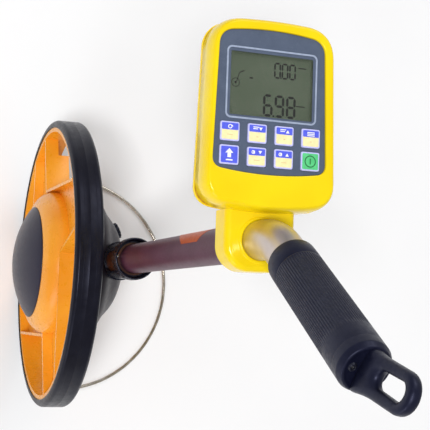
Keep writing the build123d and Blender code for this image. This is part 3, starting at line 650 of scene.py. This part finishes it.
def end_cap_boss():
    """Raised round boss with a socket-head screw."""
    place = about_grip(END_FACE - 1.9) @ Matrix.Translation((1.4, 9.6, 0.3))
    profile = [(0, -1.0), (3.3, -1.0), (3.3, 0.5, 0.5), (2.2, 1.9, 0.5)]
    profile += [(1.5, 1.9, 0.3), (1.3, 0.8), (0, 0.8)]
    verts, faces = lathe(soften(profile, 4, closed=False), place, steps=40, closed=False)
    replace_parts(piece("end_cap_boss", verts, faces, "mast", "black_plastic"), "end_cap_screw")
    hexagon = [Vector((1.05 * math.cos(a), 1.05 * math.sin(a))) for a in (math.pi * k / 3 for k in range(6))]
    verts, faces = slab(hexagon, 0.6, 1.0, place)
    piece("end_cap_screw_head", verts, faces, "mast", "axle_steel")


# ---- head ----
def ring_outline(middle_y, sides, corner_radii, bows):
    """A rounded trapezium seen from above, always with the same count of points.

    sides is front x, rear x, half width at the front and half width at the rear.
    corner_radii and bows are each (front, rear).
    """
    front, rear, front_half, rear_half = sides
    front_corner, rear_corner = corner_radii
    front_bow, rear_bow = bows
    corners = [
        (front, middle_y - front_half, front_corner), (front, middle_y + front_half, front_corner),
        (rear, middle_y + rear_half, rear_corner), (rear, middle_y - rear_half, rear_corner),
    ]
    steps = 12
    rounded = soften(corners, steps)
    points = []
    for index, point in enumerate(rounded):
        points.append(point)
        if index % (steps + 1) == steps:
            ahead = rounded[(index + 1) % len(rounded)]
            points += [point.lerp(ahead, share / 16) for share in range(1, 16)]
    middle = (front + rear) / 2
    for point in points:
        share = (point.x - middle) / ((front - rear) / 2)
        half = front_half if share > 0 else rear_half
        bow = front_bow if share > 0 else -rear_bow
        across = (point.y - middle_y) / half
        point.x += bow * abs(share) ** 6 * (1 - across * across)
    return points


def shell_outline(inset):
    sides = (165.0 - inset, 29.0 + inset, 49.5 - inset, 53.0 - inset)
    return ring_outline(SHELL_Y, sides, (23.0 - inset, 17.5 - inset), (3.0, 6.0))


def panel_edge(outset):
    sides = (154.5 + outset, 54.5 - outset, 42.0 + outset, 45.0 + outset)
    return ring_outline(HEAD_Y, sides, (11.0, 7.0), (4.0, 4.0))


def head_shell():
    """Front half of the head: a pillow edge rolling over to a flat brow, with a lip round the panel."""
    low = 460.65
    shoulder = SHELL_TOP_Z - SHOULDER_RISE
    levels = [(shell_outline(3.0), low), (shell_outline(0.5), low), (shell_outline(0.0), low + 0.5)]
    for step in range(13):
        turn = math.pi / 2 * step / 12
        inset = SHOULDER_INSET * (1 - math.cos(turn))
        levels.append((shell_outline(inset), shoulder + SHOULDER_RISE * math.sin(turn)))
    for outset, drop in ((1.2, 0.0), (0.8, 0.12), (0.5, 0.45), (0.35, 1.0), (0.3, 4.5), (1.6, 4.5)):
        levels.append((panel_edge(outset), SHELL_TOP_Z - drop))
    levels.append((shell_outline(3.2), SHELL_TOP_Z - 5.5))
    levels.append((shell_outline(3.0), shoulder))
    count = len(levels[0][0])
    verts = [at(point.x, point.y, z) for outline, z in levels for point in outline]
    faces = []
    for level in range(len(levels)):
        here = level * count
        above = ((level + 1) % len(levels)) * count
        for index in range(count):
            other = (index + 1) % count
            faces.append((here + index, here + other, above + other, above + index))
    shell = piece("head_shell_rolled", verts, faces, "mast", "head_plastic", crisp=50)
    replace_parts(shell, "head_front_shell")


def tube_seat():
    """Low rounded collar where the handle tube leaves the neck."""
    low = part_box("neck")[1].z / MM - AXLE.z / MM - 0.2
    profile = [(TUBE_R + 0.05, low), (17.8, low), (17.8, low + 0.4, 0.3), (16.9, low + 1.1, 0.6)]
    profile += [(15.8, low + 1.1, 0.5), (TUBE_R + 0.05, low + 0.5)]
    verts, faces = lathe(soften(profile, 4), about_tube(), steps=96)
    piece("neck_seat_ring", verts, faces, "mast", "head_plastic")


# ---- display ----
def on_panel(z):
    """Local X runs across the panel to the reader's right, local Y up towards the front."""
    return placing(at(LCD_X, HEAD_Y, z), (0, -1, 0), (0, 0, 1))


def print_shape(name, outline, place, body, slot, look, lift=0.03, hole=None):
    verts, faces = slab(outline, -0.02, lift, place, hole=hole)
    return piece(name, verts, faces, body, slot, look)


def digit(kind, corner, height, width, stroke):
    """The lit bars of one seven-segment figure."""
    bars = {
        "a": ((0, 2), (1, 2)), "b": ((1, 2), (1, 1)), "c": ((1, 1), (1, 0)), "d": ((0, 0), (1, 0)),
        "e": ((0, 1), (0, 0)), "f": ((0, 2), (0, 1)), "g": ((0, 1), (1, 1)),
    }
    lit = {"0": "abcdef", "6": "acdefg", "8": "abcdefg", "9": "abcdfg"}[kind]
    outlines = []
    for name in lit:
        (ax, ay), (bx, by) = bars[name]
        start = Vector((corner[0] + ax * width, corner[1] + ay * height / 2))
        end = Vector((corner[0] + bx * width, corner[1] + by * height / 2))
        along = (end - start).normalized()
        side = Vector((-along.y, along.x)) * stroke / 2
        gap = along * stroke * 0.14
        tip = along * stroke * 0.62
        start += gap
        end -= gap
        outlines.append([
            start, start + tip + side, end - tip + side,
            end, end - tip - side, start + tip - side,
        ])
    return outlines


def display():
    """Grey-green display film, dark figures, a small wheel sign, and the window's margin: a panel-coloured sheet
    whose wider top band is painted shade of the recess.
    """
    dark = PRINTS["print_dark"]
    film = on_panel(LCD_Z)
    figures = []
    for index, kind in enumerate("000"):
        figures += digit(kind, (2.9 + 6.1 * index, 6.9), 10.8, 4.3, 1.35)
    figures.append(rounded_rectangle(1.1, 1.1, 0.2, (8.05, 6.9)))
    for index, kind in enumerate("698"):
        figures += digit(kind, (-4.9 + 9.3 * index, -22.2), 15.0, 5.9, 1.9)
    figures.append(rounded_rectangle(1.4, 1.4, 0.3, (2.7, -22.3)))
    figures.append(bar((22.0, 16.0), (28.4, 16.0), 0.8))
    figures.append(bar((21.0, -13.2), (28.0, -13.2), 0.8))
    figures.append(bar((-17.2, 4.6), (-14.6, 4.6), 1.1))
    figures.append(bar((-27.4, 1.0), (-25.2, 8.0), 0.6))
    figures.append(bar((-25.4, 7.8), (-21.4, 9.6), 0.8))
    figures.append(circle(0.9, (-28.2, 0.2), 18))
    for number, outline in enumerate(figures):
        print_shape(f"display_figure_{number}", outline, film, "mast", "lcd_film", dark)
    print_shape("display_wheel_sign", circle(3.4, (-28.2, 0.2)), film, "mast", "lcd_film", dark,
                hole=circle(2.9, (-28.2, 0.2)))
    # Panel-coloured sheet over the display's edge. The window sits 0.5 mm low in it, so the band along the top is
    # wider; that extra width is painted shade of the recess.
    margin_with_painted_shade = rounded_rectangle(70.3, 51.3, 2.9)
    window = rounded_rectangle(66.2, 47.4, 1.2, (0, -0.5))
    verts, faces = slab(margin_with_painted_shade, 1.93, 2.3, film, hole=window)
    piece("display_margin_with_painted_shade", verts, faces, "mast", "panel_film")


# ---- keys ----
KEY_LENGTH = 14.4
KEY_WIDTH = 15.2


def key_frame(node):
    low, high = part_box(node)
    centre = (low + high) / 2
    return placing(Vector((centre.x, centre.y, high.z)), (0, -1, 0), (0, 0, 1))


def triangle(centre, width, height):
    x, y = centre
    low = y - height / 2
    return [Vector((x - width / 2, low)), Vector((x + width / 2, low)), Vector((x, y + height / 2))]


def key(node, body_slot, band, signs):
    """A rounded key cap with a printed border, an upper band and plain pictograms."""
    place = key_frame(node)
    verts, faces = slab(rounded_rectangle(KEY_WIDTH, KEY_LENGTH, 1.7), -4.1, 0.0, place, edge=0.55, rings=4)
    cap = piece(node + "_cap", verts, faces, node, body_slot, PRINTS["print_lavender"])
    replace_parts(cap, node)
    inner_width = KEY_WIDTH - 2.3
    inner_height = KEY_LENGTH - 2.3
    face = rounded_rectangle(inner_width, inner_height, 1.0)
    print_shape(node + "_face", face, place, node, body_slot, LOOKS[body_slot], lift=0.04)
    if band:
        height = inner_height * 0.42
        middle = inner_height / 2 - height / 2
        outline = rounded_rectangle(inner_width, height, 0.8, (0, middle))
        print_shape(node + "_band", outline, place, node, body_slot, LOOKS["key_blue"], lift=0.07)
    for number, (look, outline, hole) in enumerate(signs):
        lift = 0.1 + 0.015 * number
        name = f"{node}_sign_{number}"
        print_shape(name, outline, place, node, body_slot, PRINTS[look], lift=lift, hole=hole)


def keys():
    white = "print_white"
    tan = "print_tan"
    top = 3.35
    dash = (tan, bar((-2.2, -2.6), (2.2, -2.6), 0.5), None)
    dot = (tan, bar((-0.8, -2.6), (0.8, -2.6), 0.6), None)
    ring = (white, circle(1.35, (-2.9, top), 20), circle(0.75, (-2.9, top), 20))
    crescent = ((-2.9, top - 1.3), (-1.5, top - 1.0), (-1.5, top + 1.0), (-2.9, top + 1.3))
    half = (white, [Vector(p) for p in crescent], None)
    up = triangle((2.6, top), 2.8, 2.4)
    down = [Vector((p.x, 2 * top - p.y)) for p in up]
    bars = []
    for row in range(2):
        height = top + 1.3 - 1.3 * row
        bars.append((white, bar((-3.4, height), (1.2 - 0.9 * row, height), 0.7), None))
    key("key_mode", "key_cream", True, [
        (white, circle(1.6, (0, top), 24), circle(1.0, (0, top), 24)),
        (white, triangle((1.7, top + 0.7), 1.5, 1.3), None),
        dash,
    ])
    key("key_down", "key_cream", True, bars + [(white, down, None), dot])
    key("key_up", "key_cream", True, bars + [(white, up, None), dot])
    key("key_info", "key_cream", True, [
        (white, bar((-3.0, top + 1.1), (3.0, top + 1.1), 0.7), None),
        (white, bar((-3.0, top - 0.1), (3.0, top - 0.1), 0.7), None),
        (white, bar((-3.0, top - 1.3), (3.0, top - 1.3), 0.7), None),
        dot,
    ])
    key("key_shift", "key_blue", False, [
        (white, triangle((0, 3.0), 6.4, 3.4), None),
        (white, bar((0, 1.4), (0, -2.0), 2.8), None),
        (white, bar((-2.6, -3.9), (2.6, -3.9), 1.0), None),
    ])
    key("key_store", "key_cream", True, [ring, half, (white, down, None), dash])
    key("key_recall", "key_cream", True, [ring, half, (white, up, None), dash])
    key("key_power", "key_green", False, [
        ("print_forest", circle(4.6, (0, 0), 40), circle(3.8, (0, 0), 40)),
        ("print_forest", bar((0, -2.2), (0, 2.2), 0.8), None),
    ])


tyre()
hub_cap()
clamp_ring()
clamp_screw()
grip()
end_cap()
hanging_loop()
end_cap_boss()
head_shell()
tube_seat()
display()
keys()


# ---- stage ----
def soft_light(name, place, target, size, power, colour=(1, 1, 1)):
    data = bpy.data.lights.new(name, "AREA")
    data.shape = "RECTANGLE"
    data.size = size[0]
    data.size_y = size[1]
    data.energy = power
    data.color = colour
    light = bpy.data.objects.new(name, data)
    light.location = place
    light.rotation_euler = (Vector(target) - Vector(place)).to_track_quat("-Z", "Y").to_euler()
    bpy.context.scene.collection.objects.link(light)


def floor():
    mesh = bmesh.new()
    bmesh.ops.create_grid(mesh, x_segments=40, y_segments=40, size=9.0)
    data = bpy.data.meshes.new("floor")
    mesh.to_mesh(data)
    mesh.free()
    made = bpy.data.objects.new("floor", data)
    made.location = (0, 0, -0.0004)
    bpy.context.scene.collection.objects.link(made)
    look = Look("floor_paper", srgb(246, 246, 247), 0.85, specular=0.2)
    look.mottled(srgb(243, 243, 244), 3).grain(300, 0.05, 0.2)
    data.materials.append(look.material)


def camera():
    """The camera stands above the grip and looks steeply down past the head to the wheel."""
    data = bpy.data.cameras.new("camera")
    data.sensor_width = 36.0
    data.lens = 93.7
    made = bpy.data.objects.new("camera", data)
    right = Vector((0.035, -0.939, 0.343)).normalized()
    back = Vector((-0.094, 0.339, 0.936)).normalized()
    up = back.cross(right).normalized()
    right = up.cross(back)
    turn = Matrix((right, up, back)).transposed().to_4x4()
    made.matrix_world = Matrix.Translation(at(-58.0, 262.1, 1239.4)) @ turn
    bpy.context.scene.collection.objects.link(made)
    bpy.context.scene.camera = made
    data.clip_end = 50


def studio():
    world = bpy.data.worlds.new("studio")
    world.use_nodes = True
    background = world.node_tree.nodes["Background"]
    background.inputs["Color"].default_value = (1.0, 1.0, 1.0, 1.0)
    background.inputs["Strength"].default_value = 0.45
    bpy.context.scene.world = world
    middle = at(0, -40, 250)
    soft_light("key", (-0.85, 1.7, 5.0), middle, (0.9, 0.9), 140)
    soft_light("fill", (2.4, -1.2, 2.6), middle, (1.8, 1.8), 28)
    soft_light("side", (-2.8, 1.8, 1.4), middle, (1.2, 2.0), 22)
    view = bpy.context.scene.view_settings
    view.view_transform = "Standard"
    view.look = "None"


camera()
studio()
floor()
